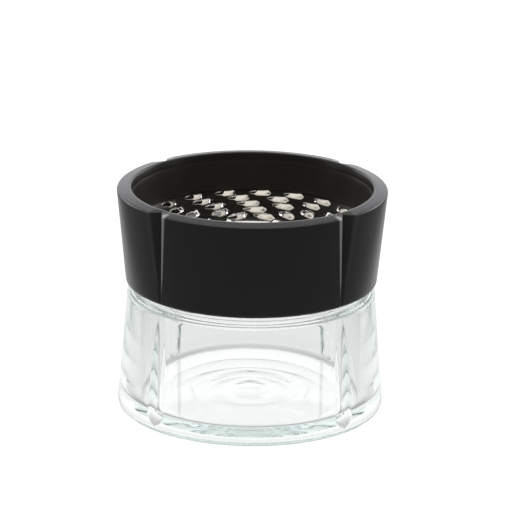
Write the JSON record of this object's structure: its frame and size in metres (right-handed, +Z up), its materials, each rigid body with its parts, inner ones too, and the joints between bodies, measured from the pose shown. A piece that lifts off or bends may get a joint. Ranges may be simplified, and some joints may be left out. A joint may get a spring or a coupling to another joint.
{
  "type": "kitchen grater jar",
  "caption": "Clear pressed-glass jar with a black screw-on grater head; its flared collar holds a steel disc of raised grater holes.",
  "frame": {"origin": "centre of the circle that the jar stands on", "axes": "+Z up along the jar's axis; the four grooves lie halfway between the X and Y axes"},
  "size_m": [0.0798, 0.0798, 0.0677],
  "materials": {
    "pressed_glass": "fire-polished pressed glass, faintly green where thick",
    "silicone": "matt",
    "black_shell": "fine satin moulding",
    "black_liner": "satin",
    "stainless_steel": "bright rolled sheet"
  },
  "bodies": {
    "jar": {"glass_jar": "pressed_glass"},
    "seal": {"jar_gasket": "silicone"},
    "head": {"grip_collar": "black_shell", "bowl_liner": "black_liner", "grater_disc": "stainless_steel", "thread_sleeve": "black_liner"}
  },
  "joints": [
    {"name": "head_lift", "type": "slide", "parent": "jar", "child": "seal", "axis": [0, 0, 1], "range_m": [0, 0.00445]},
    {"name": "head_twist", "type": "hinge", "parent": "seal", "child": "head", "pos_m": [0, 0, 0.045], "axis": [0, 0, 1], "range_deg": [0, 100]}
  ],
  "couplings": [
    {"joint": "head_lift", "follows": "head_twist", "m_per_rad": 0.0025465}
  ]
}
